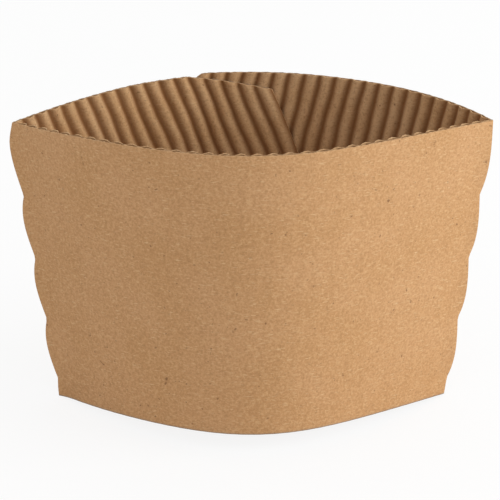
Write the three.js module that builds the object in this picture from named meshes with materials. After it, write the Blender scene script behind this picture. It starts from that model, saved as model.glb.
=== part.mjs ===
// A takeaway cup sleeve: one strip of single-face corrugated kraft board, creased twice and lapped
// at the back. It stands on its narrower base edge, opened to a lens. Millimetres, +Z up, the plain
// outer face of the front panel towards -Y, flutes on the inside.
import * as THREE from 'three';

const degrees = Math.PI / 180;

// The flat blank, a ring sector. Radii run from the centre of its two arcs.
const slantHeight = 64;
const panelWidth = 119.4; // crease to crease along the rim, the flat width of the sleeve
const panelAngle = 18 * degrees; // what one panel takes of the ring, which sets the taper
const fluteSlant = 4.5 * degrees; // the flutes run along the radius this far right of the front's middle

// The board.
const boardThickness = 1.3;
const linerThickness = 0.25;
const mediumThickness = 0.22;
const flutePitch = 3.366;
const glueLineWidth = 0.5; // where each flute is stuck to the liner
const crestWidening = 0.5; // 0 is a plain cosine wave; more gives wide crests and narrow valleys
const waveSteps = 8; // facets in one wave of the medium

// The lap. The left panel's flap lies inside, and its free end is cut along a flute.
const leftFlutes = 44; // whole flutes left of the parallel radius
const rightFlutes = 30; // whole flutes right of it
const outerFlapCorner = 2; // cut off the outer flap's end, measured down from the rim
const outerFlapRounding = 1.5; // radius of that end's top corner
const lapGap = 0.15; // thickness of the glue film
const lapRamp = 14; // length over which the inner flap steps in by one board
const flapTaper = 11 * degrees; // slope of the inner flap's top and bottom edges
const flapTaperLead = 2.5; // the taper starts this far before the lap

// The bend of each panel. Its curvature is even, plus a slope from left to right, plus one rounded hump.
// Places run from -1 at the left crease to 1 at the right crease.
const frontTurn = 90.9 * degrees;
const frontBend = { slope: -0.52, hump: 2.93, place: 0.037, width: 0.333 };
const backBend = { slope: 0.83, hump: 3.06, place: -0.208, width: 0.107 };

// The creases: the board is pressed thin along each, and the fold stands out in shallow lobes.
const creaseZone = 4; // half width of the pressed band
const creasePress = 0.2; // the part of its height that a flute keeps on the fold
// A skew below 0 moves a lobe's highest place towards the rim. Base is how far the notches stand out,
// and last is the part of its height that the lobe cut by the lower edge keeps.
const leftLobes = { height: 1, skew: -0.35, base: 0.45, last: 1 };
const rightLobes = { height: 0.8, skew: 0.4, base: 0, last: 0 };
const fullLobes = 4; // whole lobes down each crease, the first one included
const lobeFade = 5; // length over which the base runs out at the rim and at the lower edge
const lobeLength = 14.4;
const firstNotch = 16.7; // from the rim down the crease, the length of the first lobe
const lobeSteps = 4;

const rimRadius = panelWidth / panelAngle;
const baseRadius = rimRadius - slantHeight;
const halfPanel = panelAngle / 2;
const leftEnd = -leftFlutes * flutePitch;
const rightEnd = rightFlutes * flutePitch;
const waveHeight = boardThickness - linerThickness - mediumThickness;
const fluteCount = leftFlutes + rightFlutes;
const bendSamples = 240;
const turnSteps = 11; // facets round each panel
const creaseLines = [0, 0.25, 0.55, 1]; // bend lines beside a crease, as parts of its zone
const roundingLines = [0.1, 0.3, 0.6, 1]; // lines that cut the rounded corner, as parts of its radius
const nearest = 0.02; // points closer than this are one
const sameKey = 1e-9;

function curvatureAt(bend, place) {
  const fromHump = (place - bend.place) / bend.width;
  return 1 + bend.slope * place + bend.hump * Math.exp(-fromHump * fromHump);
}

// The curve that a panel follows on the unit sphere about the cone's apex, from the left crease to
// the right one: directions from the apex and the tangents along the curve.
function bentCurve(bend, turn) {
  const raw = [];
  for (let i = 0; i < bendSamples; i += 1) {
    raw.push(curvatureAt(bend, -1 + (2 * i + 1) / bendSamples));
  }
  const mean = raw.reduce((sum, value) => sum + value, 0) / bendSamples;
  const step = panelAngle / bendSamples;
  const direction = new THREE.Vector3(0, 0, 1);
  const tangent = new THREE.Vector3(1, 0, 0);
  const directions = [direction.clone()];
  const tangents = [tangent.clone()];
  for (const value of raw) {
    const curvature = (turn / panelAngle) * (value / mean);
    const axis = direction.clone().cross(tangent).addScaledVector(direction, curvature);
    const angle = axis.length() * step;
    axis.normalize();
    direction.applyAxisAngle(axis, angle).normalize();
    tangent.applyAxisAngle(axis, angle).normalize();
    directions.push(direction.clone());
    tangents.push(tangent.clone());
  }
  return { directions, tangents };
}

function chordOf(curve) {
  return curve.directions[0].distanceTo(curve.directions[bendSamples]);
}

// The back panel turns as much as it must to reach both creases of the front panel.
function backTurnFor(chord) {
  let low = 10 * degrees;
  let high = 200 * degrees;
  for (let i = 0; i < 50; i += 1) {
    const middle = (low + high) / 2;
    if (chordOf(bentCurve(backBend, middle)) > chord) {
      low = middle;
    } else {
      high = middle;
    }
  }
  return (low + high) / 2;
}

// Turns a curve so that its ends lie level on X and it bulges to the given side of Y.
function placedCurve(curve, side) {
  const first = curve.directions[0];
  const last = curve.directions[bendSamples];
  const up = first.clone().add(last).normalize();
  const across = last.clone().sub(first).normalize();
  const depth = up.clone().cross(across);
  const middle = curve.directions[bendSamples / 2];
  const flip = Math.sign(middle.dot(depth)) === side ? 1 : -1;
  const turned = (v) => new THREE.Vector3(v.dot(across), flip * v.dot(depth), v.dot(up));
  return {
    directions: curve.directions.map(turned),
    tangents: curve.tangents.map(turned),
  };
}

const frontCurve = placedCurve(bentCurve(frontBend, frontTurn), -1);
const backTurn = backTurnFor(chordOf(frontCurve));
const backCurve = placedCurve(bentCurve(backBend, backTurn), 1);

function alongCurve(list, angle) {
  const place = (angle / panelAngle) * bendSamples;
  const index = Math.max(0, Math.min(bendSamples - 1, Math.floor(place)));
  return list[index].clone().lerp(list[index + 1], place - index).normalize();
}

// Direction, tangent and inward normal at an angle in the blank. Zero is the front panel's middle;
// the back panel is reached past either crease.
function frameAt(angle) {
  const onFront = Math.abs(angle) <= halfPanel;
  const curve = onFront ? frontCurve : backCurve;
  let along = angle + halfPanel;
  if (angle < -halfPanel) {
    along = -halfPanel - angle;
  } else if (angle > halfPanel) {
    along = 3 * halfPanel - angle;
  }
  const direction = alongCurve(curve.directions, along);
  const tangent = alongCurve(curve.tangents, along);
  const inward = direction.clone().cross(tangent).normalize();
  if (inward.y > 0 !== onFront) {
    inward.negate();
  }
  return { direction, tangent, inward };
}

// The inward mitre at a crease, for one unit of thickness, shared by both panels.
function mitreAt(side) {
  const front = frontCurve.tangents[side < 0 ? 0 : bendSamples].clone().multiplyScalar(-side);
  const back = backCurve.tangents[side < 0 ? 0 : bendSamples].clone().multiplyScalar(-side);
  const half = Math.acos(front.dot(back)) / 2;
  const mitre = front.add(back).normalize();
  return { mitre, shift: 1 / Math.tan(half) };
}

const leftMitre = mitreAt(-1);
const rightMitre = mitreAt(1);

function smooth(x) {
  const t = Math.max(0, Math.min(1, x));
  return t * t * (3 - 2 * t);
}

function lobeAt(radius, { height, skew, base, last }) {
  const down = rimRadius - radius;
  const kept = down > firstNotch + (fullLobes - 1) * lobeLength ? last : 1;
  const part = down < firstNotch ? down / firstNotch : ((down - firstNotch) / lobeLength) % 1;
  const fade = smooth(down / lobeFade) * smooth((slantHeight - down) / lobeFade);
  return height * kept * 4 * part * (1 - part) * (1 + skew * (2 * part - 1)) + base * fade;
}

// How far the inner flap stands in from the panel's own surface.
const outerEndAngle = Math.asin(rightEnd / (rimRadius - outerFlapCorner)) + fluteSlant;
const lapStart = outerEndAngle - 4 * halfPanel; // the same line, met from the left
const fullStep = boardThickness + lapGap;

function stepIn(angle) {
  const past = (lapStart - angle) * rimRadius;
  return fullStep * smooth(1 + (past + flapTaperLead) / lapRamp);
}

// Everything that the bend needs to know about one of its lines.
function bendAt(angle) {
  const { direction, tangent, inward } = frameAt(angle);
  const side = angle < 0 ? -1 : 1;
  const corner = side < 0 ? leftMitre : rightMitre;
  const distance = Math.abs(Math.abs(angle) - halfPanel) * rimRadius;
  const near = 1 - smooth(distance / creaseZone);
  const standOut = Math.max(0, 1 - distance / creaseZone) ** 2;
  return {
    angle,
    direction,
    inward,
    inset: inward.clone().addScaledVector(tangent, -side * corner.shift * near),
    press: 1 - (1 - creasePress) * near,
    lobe: corner.mitre.clone().multiplyScalar(standOut),
    lobeShape: side < 0 ? leftLobes : rightLobes,
    step: angle < -halfPanel ? stepIn(angle) : 0,
  };
}

// Takes a point of the blank by radius, angle and depth below the outer face. The wave is the part
// of its depth that a crease presses flat. Between two bend lines the board is plane.
function bent(radius, angle, depth, wave) {
  let right = 1;
  while (right < bends.length - 1 && bends[right].angle < angle) {
    right += 1;
  }
  const span = bends[right].angle - bends[right - 1].angle;
  const point = new THREE.Vector3();
  for (const bend of [bends[right - 1], bends[right]]) {
    const other = bend === bends[right] ? bends[right - 1] : bends[right];
    const share = Math.sin(Math.abs(other.angle - angle)) / Math.sin(span);
    const pressed = depth - wave * (1 - bend.press);
    point.addScaledVector(bend.direction, radius * share);
    point.addScaledVector(bend.inset, pressed * share);
    point.addScaledVector(bend.inward, bend.step * share);
    if (depth === 0) {
      point.addScaledVector(bend.lobe, -lobeAt(radius, bend.lobeShape) * share);
    }
  }
  return point;
}

// The board's section across the flutes. Across is measured square to the flutes, depth from the
// outer face inwards.
function waveRise(across) {
  const part = (1 - Math.cos((2 * Math.PI * across) / flutePitch)) / 2;
  return waveHeight * part * (1 + crestWidening * (1 - part));
}

function waveSlope(across) {
  const turn = (2 * Math.PI * across) / flutePitch;
  const part = (1 - Math.cos(turn)) / 2;
  const steeper = 1 + crestWidening * (1 - 2 * part);
  return ((Math.PI * waveHeight) / flutePitch) * steeper * Math.sin(turn);
}

// A point on the medium, offset square to the wave, towards the cup if the offset is positive.
function mediumPoint(across, offset) {
  const slope = waveSlope(across);
  const length = Math.hypot(1, slope);
  const wave = waveRise(across);
  const depth = linerThickness + mediumThickness / 2 + wave + offset / length;
  return { across: across - (offset * slope) / length, depth, wave };
}

function fluteFace() {
  const points = [];
  for (let step = 0; step <= fluteCount * waveSteps; step += 1) {
    const across = leftEnd + (step * flutePitch) / waveSteps;
    points.push(mediumPoint(across, mediumThickness / 2));
  }
  return points;
}

// The open channel between liner and medium in one flute: its roof, then its floor.
function channelFaces(flute) {
  const start = leftEnd + flute * flutePitch;
  const left = { across: start + glueLineWidth / 2, depth: linerThickness, wave: 0 };
  const right = { across: start + flutePitch - glueLineWidth / 2, depth: linerThickness, wave: 0 };
  const roof = [left];
  for (let step = 1; step < waveSteps; step += 1) {
    const across = start + (step * flutePitch) / waveSteps;
    roof.push(mediumPoint(across, -mediumThickness / 2));
  }
  roof.push(right);
  return { roof, floor: [left, right] };
}

// Adds a point to a face of the section wherever one of the given lines crosses it.
function withLines(face, lines) {
  const result = [face[0]];
  for (let i = 1; i < face.length; i += 1) {
    const from = face[i - 1];
    const to = face[i];
    for (const across of lines) {
      if (across > from.across + nearest && across < to.across - nearest) {
        const part = (across - from.across) / (to.across - from.across);
        const depth = from.depth + (to.depth - from.depth) * part;
        const wave = from.wave + (to.wave - from.wave) * part;
        result.push({ across, depth, wave });
      }
    }
    result.push(to);
  }
  return result;
}

// The blank's edges. Each gives a radius for a place across the flutes.
const lapAtRim = rimRadius * Math.sin(lapStart - fluteSlant) + flapTaperLead;
const lapAtBase = baseRadius * Math.sin(lapStart - fluteSlant) + flapTaperLead;

function topRadius(across) {
  const taper = Math.max(0, lapAtRim - across) * Math.tan(flapTaper);
  const intoCorner = Math.min(outerFlapRounding, Math.max(0, across - (rightEnd - outerFlapRounding)));
  const rounding = outerFlapRounding - Math.sqrt(outerFlapRounding ** 2 - intoCorner ** 2);
  return rimRadius - taper - rounding;
}

function bottomRadius(across) {
  const raised = baseRadius + Math.max(0, lapAtBase - across) * Math.tan(flapTaper);
  return Math.max(raised, across / Math.sin(outerEndAngle - fluteSlant));
}

function angleAt(across, radius) {
  return Math.asin(across / radius) + fluteSlant;
}

// Where a radius of the blank meets its top or bottom edge, found by repeating until it stays put.
function edgePoint(angle, edgeRadius) {
  let radius = edgeRadius(0);
  for (let i = 0; i < 60; i += 1) {
    radius = edgeRadius(radius * Math.sin(angle - fluteSlant));
  }
  return { across: radius * Math.sin(angle - fluteSlant), radius };
}

// Angles of the blank where the board bends: even steps of turn on each panel, and lines beside
// each crease and at the step of the lap.
function turnLines(bend) {
  const places = [];
  const raw = [];
  for (let i = 0; i < bendSamples; i += 1) {
    raw.push(curvatureAt(bend, -1 + (2 * i + 1) / bendSamples));
  }
  const total = raw.reduce((sum, value) => sum + value, 0);
  let passed = 0;
  for (let i = 0; i < bendSamples; i += 1) {
    passed += raw[i];
    if (passed >= (total * (places.length + 1)) / turnSteps && places.length < turnSteps - 1) {
      places.push(-1 + (2 * i + 2) / bendSamples);
    }
  }
  return places;
}

function bendLines() {
  const lines = turnLines(frontBend).map((place) => place * halfPanel);
  for (const place of turnLines(backBend)) {
    lines.push(-(2 + place) * halfPanel, (2 - place) * halfPanel);
  }
  for (const side of [-1, 1]) {
    for (const part of creaseLines) {
      const offset = (part * creaseZone) / rimRadius;
      lines.push(side * (halfPanel + offset), side * (halfPanel - offset));
    }
  }
  for (const part of [0, 0.5, 1]) {
    lines.push(lapStart + (flapTaperLead + part * lapRamp) / rimRadius);
  }
  lines.sort((a, b) => a - b);
  const apart = lines.filter((angle, i) => i === 0 || angle - lines[i - 1] > nearest / rimRadius);
  const leftmost = angleAt(leftEnd, bottomRadius(leftEnd));
  const inside = apart.filter((angle) => angle > leftmost && angle < outerEndAngle);
  return [leftmost, ...inside, outerEndAngle].map(bendAt);
}

// The strip is built in the blank and bent point by point.
const bends = bendLines();
const points = [];
const faces = [];

function addPoint(across, radius, depth, wave = 0) {
  const angle = angleAt(across, radius);
  points.push(bent(radius, angle, depth, wave));
  return { across, radius, angle, depth, index: points.length - 1 };
}

function addFace(a, b, c, outward) {
  if (a === b || b === c || c === a) {
    return;
  }
  faces.push(outward ? [a.index, b.index, c.index] : [a.index, c.index, b.index]);
}

// Fills the band between two rows of points that run the same way, pairing those of equal key.
function addBand(first, second, keyOf, outward) {
  let i = 0;
  let j = 0;
  while (i < first.length - 1 || j < second.length - 1) {
    const keyFirst = i < first.length - 1 ? keyOf(first[i + 1]) : Infinity;
    const keySecond = j < second.length - 1 ? keyOf(second[j + 1]) : Infinity;
    if (keyFirst <= keySecond + sameKey) {
      addFace(first[i], first[i + 1], second[j], outward);
      i += 1;
    }
    if (keySecond <= keyFirst + sameKey) {
      addFace(first[i], second[j + 1], second[j], outward);
      j += 1;
    }
  }
}

// One line along a flute, from the top edge to the bottom edge, with a point on each bend line.
function lineAlong({ across, depth, wave }) {
  const top = topRadius(across);
  const bottom = bottomRadius(across);
  const line = [addPoint(across, top, depth, wave)];
  const crossed = [];
  for (const { angle } of bends) {
    const radius = across / Math.sin(angle - fluteSlant);
    if (radius < top - nearest && radius > bottom + nearest) {
      crossed.push(radius);
    }
  }
  crossed.sort((a, b) => b - a);
  for (const radius of crossed) {
    line.push(addPoint(across, radius, depth, wave));
  }
  line.push(addPoint(across, bottom, depth, wave));
  return line;
}

function addRuledFace(lines, outward) {
  for (let i = 1; i < lines.length; i += 1) {
    const way = lines[i][0].across + lines[i - 1][0].across < 0 ? -1 : 1;
    addBand(lines[i - 1], lines[i], (p) => way * p.angle, outward);
  }
}

const acrossOf = (p) => p.across;
const angleOf = (p) => p.angle;
const downOf = (p) => -p.radius;
const firstOf = (row) => row[0];
const lastOf = (row) => row[row.length - 1];

// The part of a row that lies over one flute.
function within(row, from, to) {
  return row.filter((p) => p.across > from - sameKey && p.across < to + sameKey);
}

// The cut edge of the board over one flute: the liner's edge, then the medium's edge.
function addCutEdge(outer, fluted, roof, floor, outward) {
  const ends = (row) => [firstOf(fluted), ...row, lastOf(fluted)];
  addBand(ends(floor), outer, acrossOf, !outward);
  addBand(fluted, ends(roof), acrossOf, !outward);
}

// The plain outer face between two radii of the blank. Either side may hold points of its own.
function addPlainSlab(top, bottom, leftRows, rightRows) {
  if (leftRows.length === 0 && rightRows.length === 0) {
    addBand(top, bottom, angleOf, false);
    return;
  }
  const left = leftRows.length > 0 ? leftRows : [firstOf(top), firstOf(bottom)];
  const right = rightRows.length > 0 ? rightRows : [lastOf(top), lastOf(bottom)];
  addBand(top, [firstOf(left), firstOf(right)], angleOf, false);
  addBand(left, right, downOf, true);
  addBand([lastOf(left), lastOf(right)], bottom, angleOf, false);
}

// The part of an edge between two bend lines, whose points may have moved to the nearest flute.
function stretch(row, from, to) {
  const place = (angle) => {
    const gaps = row.map((p) => Math.abs(p.angle - angle));
    return gaps.indexOf(Math.min(...gaps));
  };
  return row.slice(place(from), place(to) + 1);
}

function lobeRadii() {
  const radii = [];
  for (let step = 1; step < lobeSteps; step += 1) {
    radii.push(rimRadius - (step * firstNotch) / lobeSteps);
  }
  const spacing = lobeLength / lobeSteps;
  for (let down = firstNotch; down < slantHeight; down += spacing) {
    radii.push(rimRadius - down);
  }
  const clear = spacing / 4;
  return radii.filter((radius) => radius < rimRadius - clear && radius > baseRadius + clear);
}

function buildSleeve() {
  const foldLines = [];
  for (const side of [-1, 1]) {
    foldLines.push(edgePoint(side * halfPanel, topRadius).across);
    foldLines.push(edgePoint(side * halfPanel, bottomRadius).across);
  }
  const endCorner = baseRadius * Math.sin(outerEndAngle - fluteSlant);
  const cornerLines = roundingLines.map((part) => rightEnd - part * outerFlapRounding);
  const extra = [...foldLines, lapAtRim, lapAtBase, endCorner, ...cornerLines].sort((a, b) => a - b);

  // The fluted face and the channels.
  const fluted = withLines(fluteFace(), extra).map(lineAlong);
  addRuledFace(fluted, false);
  const channels = [];
  for (let flute = 0; flute < fluteCount; flute += 1) {
    const { roof, floor } = channelFaces(flute);
    const roofLines = withLines(roof, extra).map(lineAlong);
    const floorLines = [roofLines[0]];
    for (const p of withLines(floor, extra).slice(1, -1)) {
      floorLines.push(lineAlong(p));
    }
    floorLines.push(roofLines[roofLines.length - 1]);
    addRuledFace(roofLines, true);
    addRuledFace(floorLines, false);
    channels.push({ roofLines, floorLines });
  }

  // The outer face's edges, from left to right.
  const cells = [];
  for (let flute = 0; flute <= fluteCount; flute += 1) {
    cells.push(leftEnd + flute * flutePitch);
  }
  const topLeft = angleAt(leftEnd, topRadius(leftEnd));
  const bottomLeft = firstOf(bends).angle;
  const inner = bends.slice(1, -1).map((bend) => bend.angle);
  const edgeRow = (edgeRadius, start) => {
    const places = [...cells, ...extra];
    for (const angle of inner) {
      if (angle > start) {
        places.push(edgePoint(angle, edgeRadius).across);
      }
    }
    places.sort((a, b) => a - b);
    const kept = [];
    for (const across of places) {
      const isCell = cells.includes(across);
      const last = kept[kept.length - 1];
      if (last === undefined || across - last > nearest) {
        kept.push(across);
      } else if (isCell) {
        kept[kept.length - 1] = across;
      }
    }
    return kept.map((across) => addPoint(across, edgeRadius(across), 0));
  };
  const rim = edgeRow(topRadius, topLeft);
  const base = edgeRow(bottomRadius, bottomLeft);
  const leftSide = [rim[0]];
  for (const angle of [...inner].reverse()) {
    if (angle < topLeft - sameKey && angle > bottomLeft + sameKey) {
      leftSide.push(addPoint(leftEnd, leftEnd / Math.sin(angle - fluteSlant), 0));
    }
  }
  leftSide.push(base[0]);

  // The cut edges at rim and base, one flute at a time.
  for (const [edge, end, outward] of [[rim, firstOf, true], [base, lastOf, false]]) {
    const flutedEdge = fluted.map(end);
    for (let flute = 0; flute < fluteCount; flute += 1) {
      const [from, to] = [cells[flute], cells[flute + 1]];
      const { roofLines, floorLines } = channels[flute];
      const row = within(flutedEdge, from, to);
      addCutEdge(within(edge, from, to), row, roofLines.map(end), floorLines.map(end), outward);
    }
  }

  // The flaps' cut sides along the flutes.
  addBand(leftSide, firstOf(fluted), (p) => -p.angle, false);
  addBand([lastOf(rim), lastOf(base)], lastOf(fluted), angleOf, true);

  // The plain outer face, slab by slab from the inner flap's end to the outer flap's end.
  const corner = base.findIndex((p) => p.across > endCorner - nearest);
  const lower = base.slice(0, corner + 1);
  const upper = [...[...leftSide].reverse(), ...rim.slice(1)];
  const radii = lobeRadii();
  const columns = bends.map((bend) => bend.angle);
  const onFold = (angle) => Math.abs(Math.abs(angle) - halfPanel) * rimRadius < creaseZone + nearest;
  let leftRows = [];
  for (let i = 1; i < columns.length; i += 1) {
    const [from, to] = [columns[i - 1], columns[i]];
    let rightRows = [];
    if (onFold(to)) {
      rightRows = radii.map((r) => addPoint(r * Math.sin(to - fluteSlant), r, 0));
    } else if (i === columns.length - 1) {
      rightRows = base.slice(corner + 1).reverse();
    }
    addPlainSlab(stretch(upper, from, to), stretch(lower, from, to), leftRows, rightRows);
    leftRows = rightRows;
  }
}

// Opened to a lens, the sleeve stands on the lower ends of its creases and leans back, because the
// lap makes the back heavier, until the middle of the back edge touches too.
function standUp(placed) {
  const low = placed.reduce((best, v) => (v.z < best.z ? v : best));
  const pivot = low.clone();
  let lean = Math.PI / 2;
  for (const v of placed) {
    if (v.y - pivot.y > creaseZone) {
      lean = Math.min(lean, Math.atan2(v.z - pivot.z, v.y - pivot.y));
    }
  }
  const box = new THREE.Box3();
  for (const v of placed) {
    v.sub(pivot).applyAxisAngle(new THREE.Vector3(1, 0, 0), -lean);
    box.expandByPoint(v);
  }
  const centre = box.getCenter(new THREE.Vector3());
  for (const v of placed) {
    v.sub(new THREE.Vector3(centre.x, centre.y, box.min.z));
  }
}

buildSleeve();
standUp(points);
const geometry = new THREE.BufferGeometry();
const coordinates = points.flatMap((v) => [v.x, v.y, v.z]);
geometry.setAttribute('position', new THREE.Float32BufferAttribute(coordinates, 3));
geometry.setIndex(faces.flat());
geometry.computeVertexNormals();

const kraftBoard = new THREE.MeshStandardMaterial({ color: 0xb98f63, roughness: 0.9, metalness: 0 });
const sleeve = new THREE.Mesh(geometry, kraftBoard);
sleeve.name = 'sleeve';

const cupSleeve = new THREE.Group();
cupSleeve.name = 'coffee_cup_sleeve';
cupSleeve.add(sleeve);

export default cupSleeve;
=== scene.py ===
from math import asin, cos, pi, radians, sin, tan

import bpy
import numpy as np
from mathutils import Matrix, Vector


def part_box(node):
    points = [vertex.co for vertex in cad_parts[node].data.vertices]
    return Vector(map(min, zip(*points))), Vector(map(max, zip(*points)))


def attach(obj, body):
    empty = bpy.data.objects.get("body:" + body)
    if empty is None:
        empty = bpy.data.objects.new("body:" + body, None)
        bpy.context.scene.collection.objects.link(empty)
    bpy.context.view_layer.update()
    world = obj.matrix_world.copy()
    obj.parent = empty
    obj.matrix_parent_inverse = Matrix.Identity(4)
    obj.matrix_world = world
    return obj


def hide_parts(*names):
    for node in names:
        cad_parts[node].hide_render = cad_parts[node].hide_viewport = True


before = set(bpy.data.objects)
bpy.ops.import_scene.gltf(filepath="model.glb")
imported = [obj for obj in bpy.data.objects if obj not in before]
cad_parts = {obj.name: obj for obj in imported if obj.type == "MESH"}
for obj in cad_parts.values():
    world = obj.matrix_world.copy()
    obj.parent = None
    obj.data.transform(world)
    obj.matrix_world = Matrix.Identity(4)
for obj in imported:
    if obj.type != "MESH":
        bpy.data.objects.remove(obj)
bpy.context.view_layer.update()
cadLow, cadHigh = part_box("sleeve")

# The blank is a flat ring sector of single-face board, in metres. Its flutes lean from the radius.
blank = {"slantHeight": 0.064, "panelWidth": 0.1194, "panelAngle": radians(18), "fluteSlant": radians(4.5)}
board = {"thickness": 0.0013, "liner": 0.00025, "medium": 0.00022, "flutePitch": 0.003366,
         "crestWidening": 0.5}
lap = {"leftFlutes": 44, "rightFlutes": 30, "outerCorner": 0.002, "outerRounding": 0.0015, "glueGap": 0.00015,
       "ramp": 0.014, "taper": radians(11), "taperLead": 0.0025}
# Bend laws are slope, hump, the hump's place and its width, with places from -1 to 1 across a panel.
panelBend = {"frontTurn": radians(90.9), "front": (-0.52, 2.93, 0.037, 0.333),
             "back": (0.83, 3.06, -0.208, 0.107), "samples": 240,
             "backTurnRange": (radians(60), radians(140)), "halvings": 30}
# Pairs hold the left crease's value and then the right one's.
crease = {"zone": 0.004, "press": 0.2, "lobeLength": 0.0144, "firstNotch": 0.0167, "rounding": 0.0001,
          "lobeHeights": (0.001, 0.0008), "lobeSkews": (-0.35, 0.4), "lobeBases": (0.00045, 0),
          "lobeLasts": (1, 0), "fullLobes": 4, "lobeFade": 0.005}
# The sleeve leans back until the back's lower edge touches the floor.
standing = {"lean": 0.089712, "edgeSamples": 4001, "angleSamples": 1500, "radiusSamples": 65}

rimRadius = blank["panelWidth"] / blank["panelAngle"]
baseRadius = rimRadius - blank["slantHeight"]
halfPanel = blank["panelAngle"] / 2
leftEnd = -lap["leftFlutes"] * board["flutePitch"]
rightEnd = lap["rightFlutes"] * board["flutePitch"]
outerEndAngle = asin(rightEnd / (rimRadius - lap["outerCorner"])) + blank["fluteSlant"]
lapStart = outerEndAngle - 4 * halfPanel
lapAtRim = rimRadius * sin(lapStart - blank["fluteSlant"]) + lap["taperLead"]
lapAtBase = baseRadius * sin(lapStart - blank["fluteSlant"]) + lap["taperLead"]


def toLinear(code):
    # sRGB hex to linear: c / 12.92 below 0.04045, else ((c + 0.055) / 1.055) to the power 2.4
    values = np.array([int(code[i:i + 2], 16) for i in (1, 3, 5)]) / 255
    linear = np.where(values <= 0.04045, values / 12.92, ((values + 0.055) / 1.055) ** 2.4)
    return (*linear.tolist(), 1.0)


def unit(vectors):
    # each vector divided by its length
    return vectors / np.linalg.norm(vectors, axis=-1, keepdims=True)


def smooth(x):
    # 3x^2 - 2x^3, level at both ends
    x = np.clip(x, 0, 1)
    return x * x * (3 - 2 * x)


def bentCurve(law, turn):
    # One panel's curve on the unit sphere. Its curvature k is 1 + slope p + hump exp(-((p - at) / width)^2),
    # scaled to add up to the whole turn. Each step turns direction and tangent about the axis
    # direction x tangent + k direction.
    slope, hump, at, width = law
    steps = panelBend["samples"]
    place = (np.arange(steps) + 0.5) * 2 / steps - 1
    curvature = 1 + slope * place + hump * np.exp(-((place - at) / width) ** 2)
    curvature *= turn / blank["panelAngle"] / curvature.mean()
    direction, tangent = np.array([0.0, 0, 1]), np.array([1.0, 0, 0])
    directions, tangents = [direction], [tangent]
    for k in curvature:
        axis = np.cross(direction, tangent) + k * direction
        angle = np.linalg.norm(axis) * blank["panelAngle"] / steps
        axis = unit(axis)
        pair = np.array([direction, tangent])
        direction, tangent = (pair * cos(angle) + np.cross(axis, pair) * sin(angle)
                              + np.outer(pair @ axis, axis) * (1 - cos(angle)))
        directions.append(direction)
        tangents.append(tangent)
    return np.array(directions), np.array(tangents)


def placedCurve(curve, side):
    # turned so that both ends are level on X and the middle stands out to side * Y
    directions, tangents = curve
    up = unit(directions[0] + directions[-1])
    across = unit(directions[-1] - directions[0])
    depth = np.cross(up, across)
    if np.sign(directions[panelBend["samples"] // 2] @ depth) != side:
        depth = -depth
    axes = np.stack([across, depth, up], axis=1)
    return directions @ axes, tangents @ axes


def chord(curve):
    # straight distance between the curve's ends
    return np.linalg.norm(curve[0][-1] - curve[0][0])


def backTurn(target):
    # halves the range until the back's chord is the front's
    low, high = panelBend["backTurnRange"]
    for i in range(panelBend["halvings"]):
        middle = (low + high) / 2
        low, high = (middle, high) if chord(bentCurve(panelBend["back"], middle)) > target else (low, middle)
    return (low + high) / 2


frontCurve = placedCurve(bentCurve(panelBend["front"], panelBend["frontTurn"]), -1)
backCurve = placedCurve(bentCurve(panelBend["back"], backTurn(chord(frontCurve))), 1)
print("both panels bent")


def along(curve, turned):
    # linear between the curve's samples, unit length
    place = np.clip(turned / blank["panelAngle"], 0, 1) * panelBend["samples"]
    index = np.clip(place.astype(int), 0, panelBend["samples"] - 1)
    part = (place - index)[..., None]
    return unit(curve[index] * (1 - part) + curve[index + 1] * part)


def sheetFrame(angle):
    # Direction from the cone's tip, tangent, and their cross product as the inward normal. The front panel
    # lies between the two creases, and beyond each crease the sheet turns back along the back panel.
    onFront = np.abs(angle) <= halfPanel
    front = angle + halfPanel
    back = np.where(angle < 0, -halfPanel - angle, 3 * halfPanel - angle)
    direction = np.where(onFront[..., None], along(frontCurve[0], front), along(backCurve[0], back))
    tangent = np.where(onFront[..., None], along(frontCurve[1], front), along(backCurve[1], back))
    inward = unit(np.cross(direction, tangent))
    inward *= np.where((inward[..., 1] > 0) == onFront, 1.0, -1.0)[..., None]
    return direction, tangent, inward


def mitreOf(side):
    # the line halving the crease's angle, the sideways shift per depth, and the rounding's share
    end = 0 if side < 0 else -1
    front, back = -side * frontCurve[1][end], -side * backCurve[1][end]
    half = np.arccos(front @ back) / 2
    return unit(front + back), 1 / tan(half), cos(half)


leftMitre, rightMitre = mitreOf(-1), mitreOf(1)


def lobeHeight(radius, left):
    # Height * 4u(1 - u) * (1 + skew (2u - 1)), u from 0 to 1 down each lobe, plus a base that runs out at
    # both edges. Last is what the lobe cut by the lower edge keeps of its height.
    down = rimRadius - radius
    part = np.where(down < crease["firstNotch"], down / crease["firstNotch"],
                    ((down - crease["firstNotch"]) / crease["lobeLength"]) % 1.0)
    height, skew, base, last = (np.where(left, *crease[key])
                                for key in ("lobeHeights", "lobeSkews", "lobeBases", "lobeLasts"))
    lastNotch = crease["firstNotch"] + (crease["fullLobes"] - 1) * crease["lobeLength"]
    height = np.where(down > lastNotch, height * last, height)
    fade = smooth(down / crease["lobeFade"]) * smooth((blank["slantHeight"] - down) / crease["lobeFade"])
    return height * 4 * part * (1 - part) * (1 + skew * (2 * part - 1)) + base * fade


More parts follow.
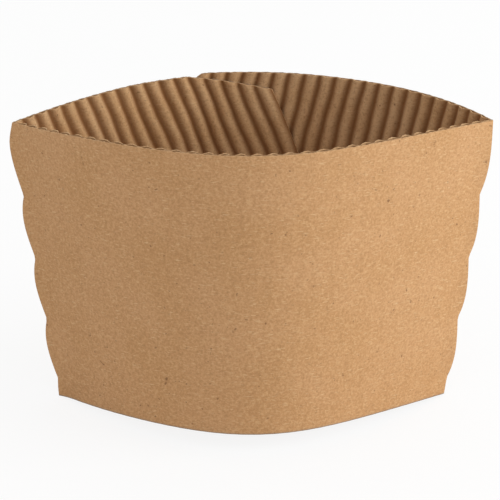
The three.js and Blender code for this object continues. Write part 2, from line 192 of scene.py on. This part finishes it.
def bend(radius, angle, depth, wave, lobes):
    # A point of the sheet is direction * radius + inward * depth, mitred at the creases. There the flutes are
    # pressed flat and the outer face stands out in lobes. The inner flap steps in under the outer one.
    radius, angle, depth, wave = np.broadcast_arrays(radius, angle, depth, wave)
    direction, tangent, inward = sheetFrame(angle)
    left = (angle < 0)[..., None]
    mitre = np.where(left, leftMitre[0], rightMitre[0])
    shift = np.where(left, -leftMitre[1], rightMitre[1])
    share = np.where(left, leftMitre[2], rightMitre[2])[..., 0]
    distance = np.abs(np.abs(angle) - halfPanel) * radius
    near = 1 - smooth(distance / crease["zone"])
    pressed = depth - wave * (1 - crease["press"]) * near
    inset = inward - tangent * shift * near[..., None]
    rounding = (np.sqrt(distance ** 2 + crease["rounding"] ** 2) - distance) * share
    standOut = lobeHeight(radius, angle < 0) * np.clip(1 - distance / crease["zone"], 0, 1) ** 2 * lobes
    past = (lapStart - angle) * rimRadius
    step = (board["thickness"] + lap["glueGap"]) * smooth(1 + (past + lap["taperLead"]) / lap["ramp"])
    step = np.where(angle < -halfPanel, step, 0)
    point = direction * radius[..., None] + inset * pressed[..., None] + inward * step[..., None]
    return point + mitre * (rounding - standOut)[..., None]


def topOf(across):
    # the inner flap's top edge falls by the taper inside the lap; the outer flap ends in a quarter circle
    into = np.clip(across - (rightEnd - lap["outerRounding"]), 0, lap["outerRounding"])
    rounding = lap["outerRounding"] - np.sqrt(lap["outerRounding"] ** 2 - into ** 2)
    return rimRadius - np.maximum(0, lapAtRim - across) * tan(lap["taper"]) - rounding


def taperedBottom(across):
    # the inner flap's lower edge rises by the taper
    return baseRadius + np.maximum(0, lapAtBase - across) * tan(lap["taper"])


def bottomOf(across):
    # the tapered lower edge, and the radius on which the outer flap ends
    return np.maximum(taperedBottom(across), across / sin(outerEndAngle - blank["fluteSlant"]))


def angleOf(across, radius):
    # across is measured square to the flutes, which lean by fluteSlant from the radius
    return np.arcsin(across / radius) + blank["fluteSlant"]


def standUp(points):
    # turned about X by the lean, round the lowest point of the lower edge, which is beside a crease
    edge = np.linspace(leftEnd, rightEnd, standing["edgeSamples"])
    line = bend(bottomOf(edge), angleOf(edge, bottomOf(edge)), 0.0, 0.0, 1)
    pivot = line[np.argmin(line[:, 2])]
    c, s = cos(-standing["lean"]), sin(-standing["lean"])
    turn = np.array([[1, 0, 0], [0, c, -s], [0, s, c]])
    return (points - pivot) @ turn.T


def boxOffset():
    # from the CAD's box to the outer face's: middle to middle on X and Y, lowest to lowest on Z
    angles = np.linspace(lapStart, outerEndAngle, standing["angleSamples"])
    radii = np.linspace(baseRadius, rimRadius, standing["radiusSamples"])
    outer = standUp(bend(radii[:, None], angles[None, :], 0.0, 0.0, 1)).reshape(-1, 3)
    low, high = outer.min(0), outer.max(0)
    cadMiddle = (cadLow + cadHigh) / 2
    middle = (low + high) / 2
    return np.array([middle[0] - cadMiddle.x, middle[1] - cadMiddle.y, low[2] - cadLow.z])


offset = boxOffset()
print("sleeve stood on the floor, leaning", standing["lean"])


def sheetMesh(name, face, back, sheetPlace, extras):
    # two grids of points, front and back of a thin sheet, joined round their four edges into one closed piece
    rows, columns = face.shape[:2]
    count = rows * columns
    index = np.arange(count).reshape(rows, columns)
    quads = np.stack([index[:-1, :-1], index[:-1, 1:], index[1:, 1:], index[1:, :-1]], -1).reshape(-1, 4)
    rim = np.concatenate([index[0], index[1:, -1], index[-1, -2::-1], index[-2:0:-1, 0]])
    after = np.roll(rim, -1)
    walls = np.stack([after, rim, rim + count, after + count], -1)
    faces = np.concatenate([quads, quads[:, ::-1] + count, walls])
    points = standUp(np.concatenate([face.reshape(-1, 3), back.reshape(-1, 3)])) - offset
    corners = points[faces]
    # six times the volume, by the divergence theorem; below 0 the faces point inwards
    volume = np.einsum("ij,ij->i", corners[:, 0], np.cross(corners[:, 1], corners[:, 2])).sum()
    volume += np.einsum("ij,ij->i", corners[:, 0], np.cross(corners[:, 2], corners[:, 3])).sum()
    if volume < 0:
        faces = faces[:, ::-1]
    mesh = bpy.data.meshes.new(name)
    mesh.vertices.add(len(points))
    mesh.vertices.foreach_set("co", points.ravel())
    mesh.loops.add(faces.size)
    mesh.loops.foreach_set("vertex_index", faces.ravel())
    mesh.polygons.add(len(faces))
    mesh.polygons.foreach_set("loop_start", np.arange(0, faces.size, 4))
    mesh.polygons.foreach_set("loop_total", np.full(len(faces), 4))
    mesh.update()
    uv = np.concatenate([sheetPlace.reshape(-1, 2)] * 2)
    layer = mesh.uv_layers.new(name="sheet")
    layer.data.foreach_set("uv", uv[faces.ravel()].ravel())
    for key, values in extras.items():
        attribute = mesh.attributes.new(key, "FLOAT", "POINT")
        attribute.data.foreach_set("value", np.concatenate([values.ravel()] * 2).astype(np.float32))
    mesh.polygons.foreach_set("use_smooth", np.arange(len(faces)) < 2 * len(quads))
    mesh.validate()
    mesh.update()
    thing = bpy.data.objects.new(name, mesh)
    bpy.context.scene.collection.objects.link(thing)
    return thing


# Shares of the slant height from base to rim: even steps of about 1 mm, closer ones beside both cut edges.
rowSteps = {"edge": (0, 0.00012, 0.0003, 0.0006), "evenFrom": 0.018, "evenCount": 60}
edgeShares = np.array(rowSteps["edge"]) / blank["slantHeight"]
evenShares = np.linspace(rowSteps["evenFrom"], 1 - rowSteps["evenFrom"], rowSteps["evenCount"])
rowShares = np.concatenate([edgeShares, evenShares, 1 - edgeShares[::-1]])[:, None]

# The die leaves the paper's edge a little uneven. Lengths are those of its waves.
cut = {"width": 0.0002, "lengths": (0.0031, 0.0017, 0.00083)}


def cutRoughness(across, amount):
    # three sines of unlike lengths and starts, added up to lie from 0 to amount
    waves = [np.sin(across * 2 * pi / length + start) for start, length in enumerate(cut["lengths"])]
    return amount * (sum(waves) / 6 + 0.5)


def cutEdge(radius, top):
    # 1 on the cut at the rim, down to 0 at the cut's width below it
    return np.clip(1 - (top - radius) / cut["width"], 0, 1)


# Columns of blank angle, closer beside the creases and the outer end, with one exactly on each crease.
liner = {"flapColumns": 80, "panelColumns": 220, "creaseColumns": 14, "grading": 1.5, "flapShare": 0.92,
         "repeats": 30, "trimFrom": 0.97, "edgeRoughness": 0.0002, "greyWidth": 0.00035, "washboard": 0.00003}


def linerGrid():
    # Radius is bottom + share * (top - bottom), repeated until it stays put. The left column follows the
    # inner flap's cut along a flute, so its angle changes with the radius.
    zone = crease["zone"] / rimRadius
    fine = np.linspace(0, 1, liner["creaseColumns"] + 1)
    graded = fine ** liner["grading"]
    front = np.concatenate([-halfPanel + zone * graded,
                            np.linspace(-halfPanel + zone, halfPanel - zone, liner["panelColumns"])[1:-1],
                            (halfPanel - zone * graded)[::-1]])
    right = np.concatenate([halfPanel + zone * graded[1:],
                            np.linspace(halfPanel + zone, outerEndAngle - zone, liner["flapColumns"])[1:],
                            (outerEndAngle - zone * graded)[-2::-1]])
    leftShare = np.concatenate([np.linspace(0, liner["flapShare"], liner["flapColumns"] * 2),
                                1 - (1 - liner["flapShare"]) * graded[::-1][1:-1]])
    rowCount = len(rowShares)
    columnCount = len(leftShare) + len(front) + len(right)
    radius = np.tile(baseRadius + rowShares * blank["slantHeight"], (1, columnCount))
    for i in range(liner["repeats"]):
        leftAngle = angleOf(leftEnd, radius[:, :1])
        angle = np.concatenate([leftAngle + (-halfPanel - leftAngle) * leftShare[None, :],
                                np.broadcast_to(front, (rowCount, len(front))),
                                np.broadcast_to(right, (rowCount, len(right)))], axis=1)
        across = radius * np.sin(angle - blank["fluteSlant"])
        fromFlutes = np.maximum(angle, halfPanel) - blank["fluteSlant"]
        top = np.minimum(topOf(across), np.where(angle > halfPanel, rightEnd / np.sin(fromFlutes), 1))
        bottom = taperedBottom(across)
        radius = (radius + bottom + rowShares * (top - bottom)) / 2
    nearTop = smooth((rowShares - liner["trimFrom"]) / (1 - liner["trimFrom"]))
    trimmed = radius - cutRoughness(across, liner["edgeRoughness"]) * nearTop
    return trimmed, angle, across, top, bottom


def buildLiner():
    # the plain paper, sunk a little between its glue lines by washboard * (1 - cosine) / 2
    radius, angle, across, top, bottom = linerGrid()
    ripple = liner["washboard"] * (1 - np.cos(across * 2 * pi / board["flutePitch"])) / 2
    face = bend(radius, angle, ripple, 0.0, 1)
    back = bend(radius, angle, board["liner"], 0.0, 0)
    edge = cutEdge(radius, top)
    # the lower edge and the back's rim turn grey, the front's rim shows pale torn fibre
    grey = np.clip(1 - (radius - bottom) / liner["greyWidth"], 0, 1)
    grey = np.maximum(grey, edge * (np.abs(angle) > halfPanel))
    sheetPlace = np.stack([angle * rimRadius, radius], -1)
    return sheetMesh("outerLiner", face, back, sheetPlace, {"cutEdge": edge, "greyEdge": grey})


# Columns along the flutes, twelve to a flute, so that each one keeps its place on the wave. Each wander has
# its length down the flute, its length across the flutes and its share.
flutes = {"perFlute": 12, "rowStep": 2, "edgeRoughness": 0.0002, "edgeStart": 0.05, "trimFrom": 0.95,
          "wander": 0.0001, "longWander": (0.0174, 0.0231, 1), "shortWander": (0.0071, -0.0113, 0.6)}


def fluteWander(across, radius):
    # soft paper: each flute strays a little to both sides on its way down, by a long and a short sine
    total = 0
    for start, (down, sideways, share) in enumerate((flutes["longWander"], flutes["shortWander"])):
        total = total + share * np.sin(radius * 2 * pi / down + across * 2 * pi / sideways + start)
    return flutes["wander"] * total


def buildMedium():
    # the fluted paper, with wide crests and narrow valleys: its rise is height * (w + k w (1 - w)), where
    # w is (1 - cosine) / 2 and k is crestWidening
    count = (lap["leftFlutes"] + lap["rightFlutes"]) * flutes["perFlute"] + 1
    across = np.linspace(leftEnd, rightEnd, count)[None, :]
    bottom, top = bottomOf(across), topOf(across)
    edgeCount = len(edgeShares)
    rowShare = np.concatenate([rowShares[:edgeCount], rowShares[edgeCount:-edgeCount:flutes["rowStep"]],
                               rowShares[-edgeCount:]])
    radius = bottom + rowShare * (top - bottom)
    nearTop = smooth((rowShare - flutes["trimFrom"]) / (1 - flutes["trimFrom"]))
    radius = radius - cutRoughness(across + flutes["edgeStart"], flutes["edgeRoughness"]) * nearTop
    across = np.broadcast_to(across, radius.shape)
    phase = across * 2 * pi / board["flutePitch"]
    height = board["thickness"] - board["liner"] - board["medium"]
    part = (1 - np.cos(phase)) / 2
    wave = height * part * (1 + board["crestWidening"] * (1 - part))
    slope = height * (1 + board["crestWidening"] * (1 - 2 * part)) * np.sin(phase) * pi / board["flutePitch"]
    square = board["medium"] / 2 / np.sqrt(1 + slope ** 2)
    faces = []
    for side in (-1, 1):
        # half the paper's thickness, square to the wave
        moved = np.clip(across + fluteWander(across, radius) - side * slope * square, leftEnd, rightEnd)
        depth = board["liner"] + board["medium"] / 2 + wave + side * square
        faces.append(bend(radius, angleOf(moved, radius), depth, wave, 0))
    sheetPlace = np.stack([across, radius], -1)
    # the crest share also steers the painted shade in the fluted paper's valleys
    return sheetMesh("flutedMedium", faces[0], faces[1], sheetPlace,
                     {"cutEdge": cutEdge(radius, top), "crest": wave / height})


def addNode(owner, kind, settings, links):
    # settings: sockets or properties by name; links: socket name to an output
    node = owner.node_tree.nodes.new(kind)
    for key, value in settings.items():
        if isinstance(key, int) or key in node.inputs:
            node.inputs[key].default_value = value
        else:
            setattr(node, key, value)
    for key, output in links.items():
        owner.node_tree.links.new(output, node.inputs[key])
    return node


def newMaterial(name):
    # an empty node material
    material = bpy.data.materials.new(name)
    material.use_nodes = True
    material.node_tree.nodes.clear()
    return material


def ramp(material, source, low, high, dark, light):
    # maps the source from low..high to dark..light
    return addNode(material, "ShaderNodeMapRange", {"From Min": low, "From Max": high, "To Min": dark,
                   "To Max": light, "clamp": True}, {"Value": source}).outputs["Result"]


def mixed(material, factor, colour, code):
    # the colour, which is a hex code or a node's output, turned towards the second hex code by the factor
    node = addNode(material, "ShaderNodeMix", {"data_type": "RGBA", 7: toLinear(code)}, {0: factor})
    if isinstance(colour, str):
        node.inputs[6].default_value = toLinear(colour)
    else:
        material.node_tree.links.new(colour, node.inputs[6])
    return node.outputs[2]


# Kraft paper: brown fibres with slow clouding, dark specks of bark, short light fibres and a fibrous bump.
# The eye gets a warm, matt, slightly uneven brown that never looks like plain paint. Each range says which
# values of its noise turn into which shares of its colour. Grain and fibres are drawn coarser than real ones,
# so that they show.
# The valley colour is painted shade: a dark brown laid into the fluted paper's valleys, where the flutes
# shade each other.
kraft = {"outside": "#c29468", "cloud": "#b98b5c", "medium": "#d2aa7f", "valleyShade": "#7d4f27",
         "pale": "#d3aa7c", "dark": "#a37a51", "speck": "#6b4528", "fibre": "#e6c79c", "cut": "#dfbc90",
         "greyCut": "#85776a", "cloudSize": 0.012, "grainSize": 0.00055, "grainRoughness": 0.75,
         "speckSize": 0.0011, "fibreLength": 0.0022, "fibreWidth": 0.00024,
         "fibreTurns": (radians(20), radians(75), radians(-40)),
         "cloudRange": (0.35, 0.65, 0, 0.6), "paleRange": (0.5, 0.72, 0, 0.75),
         "darkRange": (0.5, 0.28, 0, 0.75), "speckRange": (0.68, 0.76, 0, 0.7),
         "fibreRange": (0.66, 0.76, 0, 0.45), "valleyShadeRange": (0, 0.95, 0.9, 0),
         "cutRange": (0, 1, 0, 0.5), "greyRange": (0, 1, 0, 0.9),
         "bumpStrength": 0.35, "bumpDistance": 0.00012, "roughness": 0.9, "specular": 0.25}


def kraftPaper(name, base, crestKey):
    # the paper's layers of colour, one over the other, and a bump from its grain and fibres
    material = newMaterial(name)
    coordinates = addNode(material, "ShaderNodeTexCoord", {}, {})

    def noise(vector, scale, detail, roughness=0.5):
        settings = {"Scale": scale, "Detail": detail, "Roughness": roughness}
        return addNode(material, "ShaderNodeTexNoise", settings, {"Vector": vector}).outputs["Fac"]

    def attribute(key):
        return addNode(material, "ShaderNodeAttribute", {"attribute_name": key}, {}).outputs["Fac"]

    def layered(colour, source, key, code):
        return mixed(material, ramp(material, source, *kraft[key]), colour, kraft[code])

    spot, sheet = coordinates.outputs["Object"], coordinates.outputs["UV"]
    clouds = noise(spot, 1 / kraft["cloudSize"], 4.0)
    grain = noise(spot, 1 / kraft["grainSize"], 3.0, kraft["grainRoughness"])
    specks = noise(spot, 1 / kraft["speckSize"], 2.0)
    fibres = []
    for turn in kraft["fibreTurns"]:
        stretched = (1 / kraft["fibreLength"], 1 / kraft["fibreWidth"], 1)
        turned = addNode(material, "ShaderNodeMapping", {"Rotation": (0, 0, turn), "Scale": stretched},
                         {"Vector": sheet}).outputs["Vector"]
        fibres.append(noise(turned, 1.0, 1.0))
    colour = layered(base, clouds, "cloudRange", "cloud")
    colour = layered(colour, grain, "paleRange", "pale")
    colour = layered(colour, grain, "darkRange", "dark")
    colour = layered(colour, specks, "speckRange", "speck")
    for fibre in fibres:
        colour = layered(colour, fibre, "fibreRange", "fibre")
    # painted shade: the fluted paper turns towards the valley colour down in each valley, darkest at its
    # bottom
    if crestKey:
        colour = layered(colour, attribute(crestKey), "valleyShadeRange", "valleyShade")
    colour = layered(colour, attribute("cutEdge"), "cutRange", "cut")
    colour = layered(colour, attribute("greyEdge"), "greyRange", "greyCut")
    height = addNode(material, "ShaderNodeMath", {"operation": "ADD"}, {0: grain, 1: fibres[0]}).outputs[0]
    bump = addNode(material, "ShaderNodeBump", {"Strength": kraft["bumpStrength"],
                   "Distance": kraft["bumpDistance"]}, {"Height": height}).outputs["Normal"]
    shader = addNode(material, "ShaderNodeBsdfPrincipled", {"Roughness": kraft["roughness"],
                     "Specular IOR Level": kraft["specular"]}, {"Base Color": colour, "Normal": bump})
    addNode(material, "ShaderNodeOutputMaterial", {}, {"Surface": shader.outputs[0]})
    return material


studio = {"floorWhite": 0.85, "floorHalf": 3.0, "floorDrop": 0.00002, "worldLight": 0.92, "aim": (0, 0, 0.03),
          "key": (0.75, -0.1, 0.25), "keySize": 0.45, "keyPower": 4.05, "keyTint": (0.965, 1.0, 0.985)}


def buildFloor():
    # pale studio floor: white to the camera, with a share of real shading that keeps the sleeve's shadow
    material = newMaterial("whiteStudioFloor")
    matt = addNode(material, "ShaderNodeBsdfDiffuse", {"Color": toLinear("#ffffff")}, {})
    white = addNode(material, "ShaderNodeEmission", {"Color": (1, 1, 1, 1), "Strength": 1.0}, {})
    path = addNode(material, "ShaderNodeLightPath", {}, {})
    seen = addNode(material, "ShaderNodeMath", {"operation": "MULTIPLY", 1: studio["floorWhite"]},
                   {0: path.outputs["Is Camera Ray"]})
    both = addNode(material, "ShaderNodeMixShader", {},
                   {0: seen.outputs[0], 1: matt.outputs[0], 2: white.outputs[0]})
    addNode(material, "ShaderNodeOutputMaterial", {}, {"Surface": both.outputs[0]})
    mesh = bpy.data.meshes.new("studioFloor")
    half, z = studio["floorHalf"], -studio["floorDrop"]
    corners = [(-half, -half, z), (half, -half, z), (half, half, z), (-half, half, z)]
    mesh.from_pydata(corners, [], [(0, 1, 2, 3)])
    floor = bpy.data.objects.new("studioFloor", mesh)
    floor.data.materials.append(material)
    bpy.context.scene.collection.objects.link(floor)
    return floor


def addKeyLight():
    # a square softbox on the right, turned towards the sleeve's middle
    light = bpy.data.lights.new("keyLight", "AREA")
    light.size, light.energy, light.color = studio["keySize"], studio["keyPower"], studio["keyTint"]
    thing = bpy.data.objects.new("keyLight", light)
    thing.location = studio["key"]
    aim = Vector(studio["aim"]) - Vector(studio["key"])
    thing.rotation_euler = aim.to_track_quat("-Z", "Y").to_euler()
    bpy.context.scene.collection.objects.link(thing)


def buildWorld():
    # white to the camera, a soft even light to the sleeve
    world = bpy.data.worlds.new("studioWorld")
    bpy.context.scene.world = world
    world.use_nodes = True
    world.node_tree.nodes.clear()
    path = addNode(world, "ShaderNodeLightPath", {}, {})
    strength = addNode(world, "ShaderNodeMapRange", {"To Min": studio["worldLight"], "To Max": 1.0},
                       {"Value": path.outputs["Is Camera Ray"]})
    background = addNode(world, "ShaderNodeBackground", {}, {"Strength": strength.outputs["Result"]})
    addNode(world, "ShaderNodeOutputWorld", {}, {"Surface": background.outputs[0]})


# Found by fitting a pinhole camera to the sleeve's outline: a long lens from half a metre, looking down.
lens = {"elevation": radians(27.226), "distance": 0.48535, "target": (0, -0.0027, 0.0316), "lens": 162.45,
        "sensor": 36, "shift": (-0.0030, 0.02579), "roll": radians(-0.227), "clipStart": 0.01}


def buildCamera():
    camera = bpy.data.cameras.new("camera")
    camera.lens, camera.sensor_width = lens["lens"], lens["sensor"]
    camera.shift_x, camera.shift_y = lens["shift"]
    camera.clip_start = lens["clipStart"]
    thing = bpy.data.objects.new("camera", camera)
    back = Vector((0, -cos(lens["elevation"]), sin(lens["elevation"])))
    thing.location = Vector(lens["target"]) + back * lens["distance"]
    turn = (-back).to_track_quat("-Z", "Y").to_matrix().to_4x4()
    thing.rotation_euler = (turn @ Matrix.Rotation(lens["roll"], 4, "Z")).to_euler()
    bpy.context.scene.collection.objects.link(thing)
    bpy.context.scene.camera = thing


buildCamera()
buildWorld()
addKeyLight()
buildFloor()
print("studio ready")

outerPaper = kraftPaper("kraftLinerPaper", kraft["outside"], None)
innerPaper = kraftPaper("kraftMediumPaper", kraft["medium"], "crest")
print("papers ready")

for thing, material in ((buildLiner(), outerPaper), (buildMedium(), innerPaper)):
    thing.data.materials.append(material)
    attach(thing, "root")
    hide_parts("sleeve")
    print("built", thing.name, len(thing.data.polygons), "faces")

bpy.context.scene.view_settings.view_transform = "Standard"
